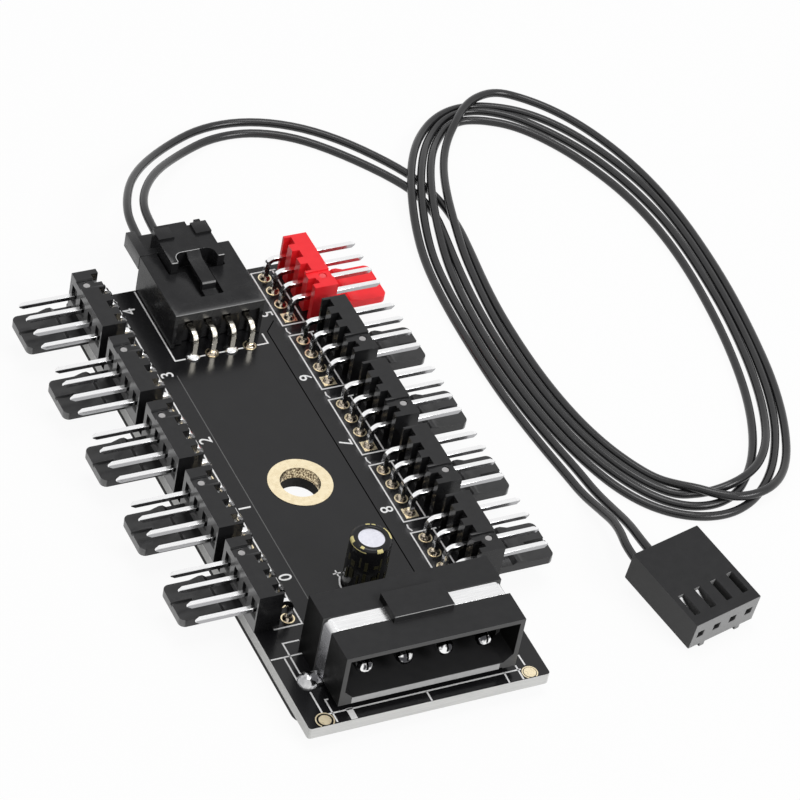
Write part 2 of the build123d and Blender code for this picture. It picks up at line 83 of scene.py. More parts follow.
def two_tones(tree, share, first, second):
    """A colour that goes from the first to the second; each is a colour or another node's output."""
    mix = tree.nodes.new("ShaderNodeMix")
    mix.data_type = "RGBA"
    tree.links.new(share, mix.inputs[0])
    for socket, colour in ((mix.inputs[6], first), (mix.inputs[7], second)):
        if isinstance(colour, tuple):
            socket.default_value = (*colour, 1)
        else:
            tree.links.new(colour, socket)
    return mix.outputs[2]


def between(tree, share, low, high, start=0.3, end=0.7):
    """A number that goes from low to high as a share goes from start to end."""
    spread = tree.nodes.new("ShaderNodeMapRange")
    limits = {"From Min": start, "From Max": end, "To Min": low, "To Max": high}
    for socket, value in limits.items():
        spread.inputs[socket].default_value = value
    tree.links.new(share, spread.inputs["Value"])
    return spread.outputs["Result"]


def relief(tree, shader, height, depth):
    """Fine bumps of this depth, in metres."""
    bump = tree.nodes.new("ShaderNodeBump")
    bump.inputs["Distance"].default_value = depth
    tree.links.new(height, bump.inputs["Height"])
    tree.links.new(bump.outputs["Normal"], shader.inputs["Normal"])


def reckon(tree, operation, *values):
    """A sum on numbers or on other nodes' outputs."""
    node = tree.nodes.new("ShaderNodeMath")
    node.operation = operation
    for socket, value in zip(node.inputs, values):
        if isinstance(value, float):
            socket.default_value = value
        else:
            tree.links.new(value, socket)
    return node.outputs["Value"]


def part_along(tree, vector, axis):
    """One part of a vector: of a place, or of the way that a face points."""
    split = tree.nodes.new("ShaderNodeSeparateXYZ")
    tree.links.new(vector, split.inputs["Vector"])
    return split.outputs[axis]


def facing(tree, axis):
    """How far a face points along an axis, from minus one to one."""
    return part_along(tree, tree.nodes.new("ShaderNodeNewGeometry").outputs["Normal"], axis)


def square_to(tree, axis, start, end):
    """One on the faces square to an axis, either way round, and nought on the faces along it."""
    return between(tree, reckon(tree, "ABSOLUTE", facing(tree, axis)), 0.0, 1.0, start=start, end=end)


def laid_over(material):
    """A material's tree, coordinates, colour socket and what feeds it, for a tone laid over it."""
    tree = material.node_tree
    place = tree.nodes["Texture Coordinate"].outputs["Object"]
    socket = tree.nodes["Principled BSDF"].inputs["Base Color"]
    return tree, place, socket, socket.links[0].from_socket


def dress(material, *names):
    """Give CAD pieces their finish."""
    for name in names:
        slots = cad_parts[name].data.materials
        slots.clear()
        slots.append(material)


def board_laminate():
    material, tree, shader, place = new_finish("board_laminate")
    mask = two_tones(tree, grain(tree, place, 2.5 * MM), MASK_DARK, MASK_LIGHT)
    layers = grain(tree, stretched(tree, place, (0.15, 0.15, 4.0)), 0.6 * MM)
    cut = two_tones(tree, layers, CUT_DARK, CUT_LIGHT)
    face = square_to(tree, "Z", 0.45, 0.55)
    tree.links.new(two_tones(tree, face, cut, mask), shader.inputs["Base Color"])
    roughness = between(tree, face, CUT_ROUGHNESS, MASK_ROUGHNESS, start=0.0, end=1.0)
    tree.links.new(roughness, shader.inputs["Roughness"])
    weave = grain(tree, stretched(tree, place, (1.0, 0.3, 1.0)), 0.35 * MM)
    relief(tree, shader, weave, 0.004 * MM)
    shader.inputs["Specular IOR Level"].default_value = 0.34
    return material


dress(board_laminate(), "circuit_board")

# Board print: white ink screen-printed on the solder mask, with part outlines and a number for each port.
# The edges of the copper layer under the mask are painted beside it as one faint line, a painted highlight, and
# one dark line, painted shade.

BOARD_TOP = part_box("circuit_board")[1].z
BOARD_TOP_MM = BOARD_TOP / MM
PRINT_THICKNESS = 0.015 * MM
PRINT_WIDTH = 0.2
WHITE = (0.95, 0.95, 0.95)
PORT_PITCH = 12.0
FIRST_PORT_Y = 31.37
PORTS_PER_SIDE = 5


def print_ink(name, colour, worn_to=0.85, gloss=0.5):
    """Ink or foil that goes patchily from its full colour to a worn share of it."""
    material, tree, shader, place = new_finish(name)
    patchy = grain(tree, place, 0.25 * MM)
    worn = tuple(worn_to * value for value in colour)
    tree.links.new(two_tones(tree, patchy, worn, colour), shader.inputs["Base Color"])
    shader.inputs["Roughness"].default_value = 0.55
    shader.inputs["Specular IOR Level"].default_value = gloss
    return material


def printed_stroke(ink, points, width, base=BOARD_TOP):
    """A thin closed strip along points in millimetres, mitred at its corners, on a face at this height."""
    points = [Vector(point) * MM for point in points]
    rows = []
    for i, point in enumerate(points):
        near = points[max(i - 1, 0):i + 2]
        runs = [(b - a).normalized() for a, b in zip(near, near[1:])]
        heading = sum(runs, Vector((0, 0))).normalized()
        side = Vector((-heading.y, heading.x)) * width * MM / 2 / max(heading.dot(runs[0]), 0.5)
        ends = []
        for edge in (point - side, point + side):
            for height in (base, base + PRINT_THICKNESS):
                ends.append(ink.verts.new((edge.x, edge.y, height)))
        rows.append(ends)
    for (a, b, c, d), (e, f, g, h) in zip(rows, rows[1:]):
        for face in ((b, f, h, d), (a, c, g, e), (a, e, f, b), (c, d, h, g)):
            ink.faces.new(face)
    a, b, c, d = rows[0]
    ink.faces.new((a, b, d, c))
    a, b, c, d = rows[-1]
    ink.faces.new((a, c, d, b))


def hub_piece(name, shape, material):
    """Make a finished shape into a piece of the hub."""
    bmesh.ops.remove_doubles(shape, verts=shape.verts, dist=0.0005 * MM)
    bmesh.ops.recalc_face_normals(shape, faces=shape.faces)
    mesh = bpy.data.meshes.new(name)
    shape.to_mesh(mesh)
    shape.free()
    piece = bpy.data.objects.new(name, mesh)
    bpy.context.scene.collection.objects.link(piece)
    mesh.materials.append(material)
    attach(piece, "root")
    return piece


def printed_piece(name, strokes, material, width):
    """One piece of ink made of many strokes on the board's top."""
    ink = bmesh.new()
    for points in strokes:
        printed_stroke(ink, points, width)
    hub_piece(name, ink, material)


OUTLINE_FROM_MIDDLE = 5.0
OUTLINE_LENGTH = 10.03
HEADER_SIDES = ((-13.0, -9.38), (12.7, 9.3))
HEADER_FRONT = 12.25
CONTROL_LINE = 23.9
FRONT_LINE = -35.68
FRONT_END = -37.25
PLUS_MIDDLE = (-2.07, -15.3)
PLUS_ARM = 0.5

header_outlines = []
for row in range(PORTS_PER_SIDE):
    top = FIRST_PORT_Y + OUTLINE_FROM_MIDDLE - PORT_PITCH * row
    bottom = top - OUTLINE_LENGTH
    for outer, inner in HEADER_SIDES:
        header_outlines.append([(outer, top), (inner, top), (inner, bottom), (outer, bottom)])
    header_outlines.append([(HEADER_FRONT, top), (HEADER_FRONT, bottom)])
    if row > 0:
        header_outlines.append([(9.49, top + 1.47), (9.41, top + 0.89), (9.68, top + 0.32)])
control_outline = [
    [(-6.25, 37.1), (-6.25, CONTROL_LINE), (-4.87, CONTROL_LINE)],
    [(6.21, 25.7), (6.21, CONTROL_LINE), (4.75, CONTROL_LINE)],
]
for start, end in ((-2.9, -2.2), (-0.4, 0.4), (2.2, 2.9)):
    control_outline.append([(start, CONTROL_LINE), (end, CONTROL_LINE)])
inlet_outline = [
    [(-12.31, FRONT_LINE), (12.3, FRONT_LINE)],
    [(-11.39, -33.55), (-11.8, -33.55), (-11.8, -37.1)],
    [(-10.82, -24.0), (-12.9, -24.0), (-12.9, -29.15)],
    [(-11.15, -26.05), (-15.3, -26.05)],
    [(-13.65, -26.2), (-13.65, -30.7)],
    [(-12.95, -31.96), (-12.95, -35.4)],
    [(0.1, FRONT_LINE), (0.1, FRONT_END)],
    [(10.15, FRONT_LINE), (10.08, FRONT_END)],
    [(11.95, -34.96), (11.92, FRONT_END)],
    [(13.02, -33.54), (13.06, -35.22)],
]
plus_x, plus_y = PLUS_MIDDLE
capacitor_outline = [
    [(plus_x - PLUS_ARM, plus_y), (plus_x + PLUS_ARM, plus_y)],
    [(plus_x, plus_y - PLUS_ARM), (plus_x, plus_y + PLUS_ARM)],
    [(-1.94, -15.83), (-2.25, -16.43), (-2.5, -17.1), (-2.55, -17.72)],
]
white_ink = print_ink("white_ink", WHITE)
outlines = header_outlines + control_outline + inlet_outline + capacitor_outline
printed_piece("outline_print", outlines, white_ink, PRINT_WIDTH)

FRONT_BAR_X = -9.7
FRONT_BAR_WIDTH = 0.8
front_bar = [(FRONT_BAR_X, -35.5), (FRONT_BAR_X, FRONT_END)]
printed_piece("front_bar_print", [front_bar], white_ink, FRONT_BAR_WIDTH)

COPPER_LEFT = -7.07
COPPER_RIGHT = 7.0
COPPER_FRONT = -22.0
# A painted highlight and painted shade for the raised edge of the copper layer.
lit_edge = print_ink("lit_edge", (0.11, 0.11, 0.11))
shaded_edge = print_ink("shaded_edge", (0.003, 0.003, 0.003), gloss=0.0)
copper_highlight_line = [(COPPER_LEFT, 21.4), (COPPER_LEFT, COPPER_FRONT)]
copper_shade_line = [(8.59, 27.55), (COPPER_RIGHT, 25.87), (COPPER_RIGHT, COPPER_FRONT)]
printed_piece("copper_edge_highlight", [copper_highlight_line], lit_edge, 0.12)
printed_piece("copper_edge_shade", [copper_shade_line], shaded_edge, 0.14)

NUMBER_HEIGHT = 1.6
HEIGHT_IN_TYPE_SIZE = 0.7
NUMBER_SPREAD = 0.012
NUMBER_X = {-1: -8.15, 1: 8.12}
NUMBER_FROM_MIDDLE = {-1: 2.45, 1: -2.5}


def port_place(port):
    """The side that a port is on, minus one or one, and its middle along the board."""
    side = -1 if port < PORTS_PER_SIDE else 1
    row = PORTS_PER_SIDE - 1 - port if side < 0 else port - PORTS_PER_SIDE
    return side, FIRST_PORT_Y - PORT_PITCH * row


for port in range(2 * PORTS_PER_SIDE):
    side, middle = port_place(port)
    digit = bpy.data.curves.new(f"port_number_{port}", "FONT")
    digit.body = str(port)
    digit.size = NUMBER_HEIGHT * MM / HEIGHT_IN_TYPE_SIZE
    digit.align_x = "CENTER"
    digit.align_y = "CENTER"
    digit.extrude = PRINT_THICKNESS / 2
    digit.offset = NUMBER_SPREAD * MM
    digit.materials.append(white_ink)
    number = bpy.data.objects.new(f"port_number_{port}", digit)
    bpy.context.scene.collection.objects.link(number)
    y = middle + NUMBER_FROM_MIDDLE[side]
    number.location = (NUMBER_X[side] * MM, y * MM, BOARD_TOP + PRINT_THICKNESS / 2)
    number.rotation_euler.z = math.radians(-90 * side)
    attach(number, "root")

# Insulating pad: a die-cut sheet of black foam, a little smaller than the board.
# It is stuck under the board so that no pin touches a case, and its matt cut edge shows below.

PAD_DARK = (0.008, 0.008, 0.008)
PAD_LIGHT = (0.022, 0.022, 0.022)


def pad_foam():
    material, tree, shader, place = new_finish("pad_foam")
    pores = grain(tree, place, 0.3 * MM, detail=4.0)
    tree.links.new(two_tones(tree, pores, PAD_DARK, PAD_LIGHT), shader.inputs["Base Color"])
    shader.inputs["Roughness"].default_value = 0.9
    relief(tree, shader, pores, 0.05 * MM)
    return material


dress(pad_foam(), "insulating_pad")

# Gold plating: the ring and barrel of the mounting hole, two round marks at the front corners, and the pads
# around the pins. It is a thin bright layer on the board's copper; on the drilled wall of the hole it is
# painted dark with bright grains, as painted shade and painted glints.

GOLD_DARK = (0.92, 0.76, 0.48)
GOLD_LIGHT = (0.97, 0.87, 0.64)
DRILLED_SHADE = (0.10, 0.06, 0.03)
DRILLED_GLINT = (0.95, 0.80, 0.52)


def gold_plating(name, metal):
    material, tree, shader, place = new_finish(name)
    cloudy = grain(tree, place, 0.5 * MM)
    tree.links.new(two_tones(tree, cloudy, GOLD_DARK, GOLD_LIGHT), shader.inputs["Base Color"])
    tree.links.new(between(tree, cloudy, 0.24, 0.36), shader.inputs["Roughness"])
    shader.inputs["Metallic"].default_value = metal
    relief(tree, shader, grain(tree, place, 0.12 * MM), 0.004 * MM)
    return material


def drilled_gold():
    """Gold whose drilled walls, the faces that stand upright, are painted dark with bright grains: painted
    shade in the hole, and painted glints.
    """
    material = gold_plating("drilled_gold", 1.0)
    tree, place, colour, flat = laid_over(material)
    glints = between(tree, grain(tree, place, 0.22 * MM, detail=4.0), 0.0, 1.0, start=0.42, end=0.62)
    wall = two_tones(tree, glints, DRILLED_SHADE, DRILLED_GLINT)
    tree.links.new(two_tones(tree, square_to(tree, "Z", 0.3, 0.7), wall, flat), colour)
    return material


gold = gold_plating("gold_plating", 1.0)
mark_gold = gold_plating("mark_gold", 0.4)
dress(drilled_gold(), "mounting_hole_plating")
dress(gold, "through_hole_pads")
dress(mark_gold, "corner_marks")


def band(inner, outer, low, high):
    """The section of a ring, as points of (radius, height)."""
    return [(inner, low), (outer, low), (outer, high), (inner, high)]


def turned(shape, centre, profile, start=0.0, end=360.0, steps=32):
    """Turn a closed profile of (radius, height) in millimetres about an upright axis, between two angles."""
    whole = end - start >= 360
    foot = Vector((*centre, 0))
    rows = []
    for step in range(steps if whole else steps + 1):
        angle = math.radians(start + (end - start) * step / steps)
        out = Vector((math.cos(angle), math.sin(angle), 0))
        points = [foot + out * radius + Vector((0, 0, height)) for radius, height in profile]
        rows.append([shape.verts.new(point * MM) for point in points])
    if not whole:
        shape.faces.new(rows[0])
        shape.faces.new(reversed(rows[-1]))
    for row, other in zip(rows, rows[1:] + rows[:1] if whole else rows[1:]):
        for a, b, c, d in zip(row, row[1:] + row[:1], other[1:] + other[:1], other):
            shape.faces.new((a, b, c, d))


MARK_X = 13.1
MARK_Y = -36.45
RING_TOP = BOARD_TOP_MM + 0.03
RING_RADII = {-1: (1.0, 1.15), 1: (0.84, 0.98)}
mark_from_edge = MARK_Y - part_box("circuit_board")[0].y / MM
rings = bmesh.new()
for side, (inner, outer) in RING_RADII.items():
    cut = math.degrees(math.asin(mark_from_edge / outer))
    turned(rings, (side * MARK_X, MARK_Y), band(inner, outer, BOARD_TOP_MM, RING_TOP), -cut, 180 + cut)
hub_piece("mark_rings", rings, mark_gold)

# Fan headers: ten right-angle headers, nine moulded in black nylon and one in red, each over four square
# tinned pins that are bent down through the board and soldered. Each header's polished ejector disc is painted
# light, a painted highlight.

NYLON_DARK = (0.012, 0.012, 0.013)
NYLON_LIGHT = (0.019, 0.019, 0.020)
EDGE_ANGLE = math.radians(35)
RED_PORT = 5


def moulded_nylon(name, dark, light, roughness, gloss=0.3):
    material, tree, shader, place = new_finish(name)
    mottle = grain(tree, place, 1.1 * MM)
    tree.links.new(two_tones(tree, mottle, dark, light), shader.inputs["Base Color"])
    tree.links.new(between(tree, mottle, roughness - 0.05, roughness + 0.05), shader.inputs["Roughness"])
    relief(tree, shader, grain(tree, place, 0.14 * MM, detail=3.0), 0.006 * MM)
    shader.inputs["Specular IOR Level"].default_value = gloss
    return material


# Painted light: the outward faces of the headers and their tabs are painted greyer than the body.
OUTER_SHEEN = (0.18, 0.18, 0.18)
OUTER_FROM = 4 * MM
OUTER_TO = 10 * MM
TAB_FROM = 16.2 * MM
TAB_TO = 16.6 * MM
TAB_LIGHT_SHARE = 0.13


def header_nylon(name):
    """Black nylon with painted light: greyer on a header's outer face and on its tab, as the photograph shows
    them.
    """
    material = moulded_nylon(name, NYLON_DARK, NYLON_LIGHT, 0.2)
    tree, place, colour, body = laid_over(material)
    out = part_along(tree, place, "X")
    outward = reckon(tree, "MULTIPLY", out, facing(tree, "X"))
    face = between(tree, outward, 0.0, 1.0, start=OUTER_FROM, end=OUTER_TO)
    tab = between(tree, reckon(tree, "ABSOLUTE", out), 0.0, TAB_LIGHT_SHARE, start=TAB_FROM, end=TAB_TO)
    tree.links.new(two_tones(tree, reckon(tree, "MAXIMUM", face, tab), body, OUTER_SHEEN), colour)
    return material


def catch_light(material, tone):
    """Paint a lighter tone on the edges between a top and a front face: a painted highlight where moulded edges
    catch the light.
    """
    tree, place, colour, body = laid_over(material)
    slope = reckon(tree, "MULTIPLY", facing(tree, "Y"), facing(tree, "Z"))
    edge = between(tree, slope, 1.0, 0.0, start=-0.45, end=-0.25)
    tree.links.new(two_tones(tree, edge, body, tone), colour)
    return material


def shade_smooth(piece):
    for face in piece.data.polygons:
        face.use_smooth = True


def break_edges(piece, width, segments):
    """Join a piece's faces and bevel its sharp edges."""
    weld = piece.modifiers.new("joined_faces", "WELD")
    weld.merge_threshold = 0.001 * MM
    bevel = piece.modifiers.new("broken_edges", "BEVEL")
    bevel.width = width * MM
    bevel.segments = segments
    bevel.limit_method = "ANGLE"
    bevel.angle_limit = EDGE_ANGLE
    shade_smooth(piece)


def soften_edges(radius, name):
    """Round a moulding's edges a little, as the mould leaves them."""
    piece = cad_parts[name]
    break_edges(piece, radius, segments=2)
    piece.modifiers.new("flat_faces", "WEIGHTED_NORMAL")


def crisp_edges(width, name):
    """Break a piece's edges with a narrow flat, and leave its bends smooth."""
    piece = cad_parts[name]
    break_edges(piece, width, segments=1)
    split = piece.modifiers.new("flat_faces", "EDGE_SPLIT")
    split.split_angle = EDGE_ANGLE


def drawn_metal(name, dark, light, low, high, lines):
    """Plated metal with fine lines along the axes that are stretched least."""
    material, tree, shader, place = new_finish(name)
    drawn = grain(tree, stretched(tree, place, lines), 0.2 * MM, detail=3.0)
    tree.links.new(two_tones(tree, drawn, dark, light), shader.inputs["Base Color"])
    tree.links.new(between(tree, drawn, low, high), shader.inputs["Roughness"])
    shader.inputs["Metallic"].default_value = 1.0
    relief(tree, shader, drawn, 0.003 * MM)
    return material


def stamped_tin():
    """Bright tin on the rolled faces of a stamped pin, and darker on its sheared sides, the faces square to Y:
    painted shade.
    """
    material = drawn_metal("stamped_tin", (0.92, 0.92, 0.93), (1.0, 1.0, 1.0), 0.12, 0.22, (0.3, 2.0, 2.0))
    tree, place, colour, plated = laid_over(material)
    tree.links.new(two_tones(tree, square_to(tree, "Y", 0.6, 0.9), plated, (0.42, 0.42, 0.43)), colour)
    return material


header_black = header_nylon("header_black")
red_nylon = moulded_nylon("red_nylon", (0.90, 0.018, 0.026), (0.97, 0.032, 0.042), 0.34)
pin_tin = stamped_tin()
for port in range(2 * PORTS_PER_SIDE):
    dress(red_nylon if port == RED_PORT else header_black, f"fan_header_{port}")
    soften_edges(0.08, f"fan_header_{port}")
    dress(pin_tin, f"fan_pins_{port}")
    crisp_edges(0.05, f"fan_pins_{port}")

EJECTOR_X = {-1: -14.355, 1: 14.905}
EJECTOR_FROM_MIDDLE = 2.95
EJECTOR_RADIUS = 0.42
EJECTOR_DEPTH = 0.14
POCKET_DEPTH = 0.35
ejector_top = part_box("fan_header_0")[1].z / MM - POCKET_DEPTH
ejector_disc = band(0.0, EJECTOR_RADIUS, ejector_top - EJECTOR_DEPTH, ejector_top)
ejector_marks = bmesh.new()
red_mark = bmesh.new()
for port in range(2 * PORTS_PER_SIDE):
    side, middle = port_place(port)
    spot = (EJECTOR_X[side], middle - side * EJECTOR_FROM_MIDDLE)
    turned(red_mark if port == RED_PORT else ejector_marks, spot, ejector_disc, steps=20)
# The ejector discs are painted light grey, and light red on the red header: a painted highlight on each
# polished spot.
ejector_glint_nylon = moulded_nylon("ejector_glint_nylon", (0.34, 0.33, 0.33), (0.5, 0.49, 0.49), 0.3)
hub_piece("ejector_marks", ejector_marks, ejector_glint_nylon)
red_ejector_glint = moulded_nylon("red_ejector_glint", (0.86, 0.09, 0.10), (0.93, 0.13, 0.14), 0.3)
hub_piece("red_ejector_mark", red_mark, red_ejector_glint)


def melted_solder(name, dark, light, size, depth):
    """Solder that has run and set, with soft ripples, and a colour from a dark tone to a light one that paints
    its reflections.
    """
    material, tree, shader, place = new_finish(name)
    ripples = grain(tree, place, size)
    tree.links.new(two_tones(tree, ripples, dark, light), shader.inputs["Base Color"])
    tree.links.new(between(tree, ripples, 0.1, 0.22), shader.inputs["Roughness"])
    shader.inputs["Metallic"].default_value = 1.0
    relief(tree, shader, ripples, depth)
    return material


# The dark brown in the pad solder is a painted reflection of the dark headers and pins around it.
pin_solder = melted_solder("pin_solder", (0.10, 0.05, 0.03), (0.98, 0.88, 0.72), 0.45 * MM, 0.12 * MM)
dress(pin_solder, "fan_pin_solder", "control_pin_solder", "capacitor_solder")

# Power inlet: a black nylon shroud with a neck and rear block behind it, around four round split pins.
# A bent strip of tinned metal holds its neck down, with a dome of solder on each foot.

INLET_HEIGHT = 8.65
INLET_DARK = (0.030, 0.030, 0.031)
INLET_LIGHT = (0.038, 0.038, 0.039)
inlet_top = BOARD_TOP_MM + INLET_HEIGHT


def frosted_nylon(name, front, sides):
    """Black nylon with painted light: its front faces, up to the inlet's top, are painted lighter as a painted
    reflection, and its side faces carry a painted grey of their own, darker or lighter than the body.
    """
    material = moulded_nylon(name, INLET_DARK, INLET_LIGHT, 0.4, gloss=0.05)
    tree, place, colour, body = laid_over(material)
    walls = two_tones(tree, square_to(tree, "X", 0.6, 0.9), body, (sides, sides, sides))
    height = part_along(tree, place, "Z")
    low = between(tree, height, 1.0, 0.0, start=inlet_top * MM, end=(inlet_top + 0.05) * MM)
    ahead = between(tree, facing(tree, "Y"), 1.0, 0.0, start=-0.95, end=-0.6)
    share = reckon(tree, "MULTIPLY", low, ahead)
    tree.links.new(two_tones(tree, share, walls, (front, front, front)), colour)
    return material


def strap_tin():
    """Rolled tin, bright on top and darker on the strap's legs, where the darkness is painted shade."""
    material = drawn_metal("strap_tin", (0.80, 0.80, 0.81), (1.0, 1.0, 1.0), 0.16, 0.3, (0.06, 2.5, 2.5))
    tree, place, colour, top = laid_over(material)
    tree.links.new(two_tones(tree, square_to(tree, "X", 0.6, 0.95), top, (0.22, 0.22, 0.23)), colour)
    return material


def turned_tin():
    """Bright tin on the rounded pin ends, with dark bands as a small round metal piece mirrors its room."""
    material = drawn_metal("turned_tin", (0.9, 0.9, 0.9), (1.0, 1.0, 1.0), 0.05, 0.12, (1, 1, 1))
    tree, place, colour, plated = laid_over(material)
    bands = between(tree, grain(tree, place, 0.9 * MM), 1.0, 0.0, start=0.44, end=0.54)
    tree.links.new(two_tones(tree, bands, plated, (0.06, 0.06, 0.065)), colour)
    return material


# Painted light on the inlet: a painted reflection on its front faces, painted shade on its side faces, and a
# painted highlight on its top-front edges.
inlet_nylon = catch_light(frosted_nylon("inlet_nylon", front=0.10, sides=0.007), (0.22, 0.22, 0.22))
dress(inlet_nylon, "power_inlet_housing")
crisp_edges(0.12, "power_inlet_housing")
dress(turned_tin(), "power_inlet_pins")
dress(strap_tin(), "power_inlet_strap")
crisp_edges(0.05, "power_inlet_strap")
# The dark grey in the dome solder is a painted reflection.
dome_solder = melted_solder("dome_solder", (0.14, 0.14, 0.15), (0.96, 0.96, 0.97), 1.0 * MM, 0.1 * MM)
dress(dome_solder, "power_inlet_solder")


def round_bar(shape, *spans):
    """A bar with rounded edges between two values along each axis, in millimetres."""
    made = bmesh.ops.create_cube(shape, size=1.0)["verts"]
    for corner in made:
        place = [low + (high - low) * (share + 0.5) for (low, high), share in zip(spans, corner.co)]
        corner.co = Vector(place) * MM
    edges = list({edge for corner in made for edge in corner.link_edges})
    bmesh.ops.bevel(shape, geom=edges, offset=0.02 * MM, segments=2, affect="EDGES")


# Painted highlights: a pale strip on the shroud's sill and another along the bridge's front top edge.
SILL_X = (-9.7, 9.2)
SILL_Z = (BOARD_TOP_MM + 1.05, BOARD_TOP_MM + 1.95)
BRIDGE_X = (-3.8, 3.8)
BRIDGE_FRONT = -32.0
PROUD = 0.04
sill_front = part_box("power_inlet_housing")[0].y / MM
bridge_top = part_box("power_inlet_housing")[1].z / MM
pale_highlight = moulded_nylon("pale_highlight", (0.42, 0.42, 0.42), (0.52, 0.52, 0.52), 0.4)
sill = bmesh.new()
round_bar(sill, SILL_X, (sill_front - PROUD, sill_front + PROUD), SILL_Z)
hub_piece("inlet_sill_highlight", sill, pale_highlight)
bridge_edge_highlight = bmesh.new()
bridge_edge_z = (bridge_top - 0.14, bridge_top - 0.02)
round_bar(bridge_edge_highlight, BRIDGE_X, (BRIDGE_FRONT - PROUD, BRIDGE_FRONT + PROUD), bridge_edge_z)
hub_piece("bridge_edge_highlight", bridge_edge_highlight, pale_highlight)

# Capacitor: an aluminium can in a shrunk black film sleeve, open at the top, on a rubber seal with two leads.
# The sleeve is shrunk on with heat and carries plain gold bars on its shoulder and side.

SLEEVE_DARK = (0.008, 0.008, 0.009)
SLEEVE_LIGHT = (0.016, 0.016, 0.017)


def sleeve_film():
    material, tree, shader, place = new_finish("sleeve_film")
    cloudy = grain(tree, place, 1.5 * MM)
    tree.links.new(two_tones(tree, cloudy, SLEEVE_DARK, SLEEVE_LIGHT), shader.inputs["Base Color"])
    shader.inputs["Roughness"].default_value = 0.12
    shader.inputs["Specular IOR Level"].default_value = 0.25
    relief(tree, shader, grain(tree, stretched(tree, place, (1, 1, 0.2)), 0.5 * MM), 0.004 * MM)
    return material


SLEEVE_CENTRE = (0.2, -17.6)
SLEEVE_RADIUS = 2.5
SLEEVE_TOP = BOARD_TOP_MM + 7.6
SLEEVE_FOOT = BOARD_TOP_MM + 0.3
CAN_TOP = BOARD_TOP_MM + 7.4
CAN_RADIUS = 2.3
SHOULDER = 0.5
LIP = 0.2
WINDOW_RADIUS = 1.575


def rounded(centre, radius, start, end, steps=6):
    """Points of a rounded corner, from one angle to another."""
    angles = [math.radians(start + (end - start) * step / steps) for step in range(steps + 1)]
    return [(centre[0] + radius * math.cos(angle), centre[1] + radius * math.sin(angle)) for angle in angles]


shoulder_centre = (SLEEVE_RADIUS - SHOULDER, SLEEVE_TOP - SHOULDER)
sleeve_profile = [
    (CAN_RADIUS, SLEEVE_FOOT), (SLEEVE_RADIUS, SLEEVE_FOOT),
    *rounded(shoulder_centre, SHOULDER, 0, 90),
    *rounded((WINDOW_RADIUS + LIP, SLEEVE_TOP - LIP), LIP, 90, 180),
    (CAN_RADIUS - SHOULDER, CAN_TOP), (CAN_RADIUS, CAN_TOP - SHOULDER + LIP),
]
sleeve = bmesh.new()
turned(sleeve, SLEEVE_CENTRE, sleeve_profile, steps=64)
sleeve_piece = hub_piece("shrunk_sleeve", sleeve, sleeve_film())
shade_smooth(sleeve_piece)
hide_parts("capacitor_sleeve")

FOIL = 0.012
BAR_COUNT = 9
BAR_STEP = 21
FIRST_BAR = 150

# Each bar on the shoulder runs between two angles around the sleeve and two angles up its shoulder.
shoulder_bars = [
    (-21, 27, 35, 75),
    (54, 66, 60, 85),
    (72, 86, 60, 85),
    (158, 182, 20, 70),
    (160, 232, 2, 14),
    (210, 222, 50, 88),
    (262, 280, 15, 70),
]
gold_bars = bmesh.new()
for start, end, low, high in shoulder_bars:
    outside = rounded(shoulder_centre, SHOULDER + FOIL, low, high)
    inside = rounded(shoulder_centre, SHOULDER - FOIL, high, low)
    turned(gold_bars, SLEEVE_CENTRE, outside + inside, start, end, steps=10)
gold_foil = print_ink("gold_foil", (0.80, 0.70, 0.30))
hub_piece("sleeve_foil", gold_bars, gold_foil)
dull_bars = bmesh.new()
for i in range(BAR_COUNT):
    start = FIRST_BAR + BAR_STEP * i + 5 * (i % 2)
    end = start + 5 + 4 * (i % 3)
    lower = (1.4 + 0.5 * (i % 3), 3.9 - 0.6 * (i % 2))
    upper = (4.3 + 0.4 * (i % 2), 6.2 - 0.5 * (i % 3))
    for low, high in (lower, upper):
        wall = band(SLEEVE_RADIUS - FOIL, SLEEVE_RADIUS + FOIL, BOARD_TOP_MM + low, BOARD_TOP_MM + high)
        turned(dull_bars, SLEEVE_CENTRE, wall, start, end, steps=4)
dull_foil = print_ink("dull_foil", (0.06, 0.054, 0.02), worn_to=0.1)
hub_piece("sleeve_bars", dull_bars, dull_foil)
can_aluminium = drawn_metal("can_aluminium", (0.70, 0.70, 0.78), (0.86, 0.86, 0.93), 0.28, 0.4, (1, 1, 1))
bright_tin = drawn_metal("bright_tin", (0.84, 0.84, 0.85), (0.96, 0.96, 0.96), 0.14, 0.26, (0.3, 2.0, 2.0))
dress(can_aluminium, "capacitor_can")
dress(pad_foam(), "capacitor_seal")
dress(bright_tin, "capacitor_leads")

# Control connector: a shrouded black nylon header soldered at the back edge, and the plug latched in it.
# The plug's ear, latch block and hooked tongue are moulded as one, and thin pale lines round the latch are
# painted highlights on its edges.

LIP_FOOT = BOARD_TOP_MM + 3.55
LIP_SHEEN = (0.05, 0.05, 0.05)


def lip_nylon():
    """Black nylon with a greyer lip along the front of the header, a painted reflection on its front faces."""
    material = moulded_nylon("lip_nylon", NYLON_DARK, NYLON_LIGHT, 0.25, gloss=0.2)
    tree, place, colour, body = laid_over(material)
    height = part_along(tree, place, "Z")
    lip = between(tree, height, 0.0, 1.0, start=LIP_FOOT * MM, end=(LIP_FOOT + 0.05) * MM)
    ahead = between(tree, facing(tree, "Y"), 1.0, 0.0, start=-0.95, end=-0.8)
    tree.links.new(two_tones(tree, reckon(tree, "MULTIPLY", lip, ahead), body, LIP_SHEEN), colour)
    return material


# Painted light on the header: a greyer front lip and painted highlights on its top-front edges.
dress(catch_light(lip_nylon(), (0.3, 0.3, 0.3)), "control_header_housing")
crisp_edges(0.12, "control_header_housing")
plug_black = moulded_nylon("black_nylon", NYLON_DARK, NYLON_LIGHT, 0.25, gloss=0.2)
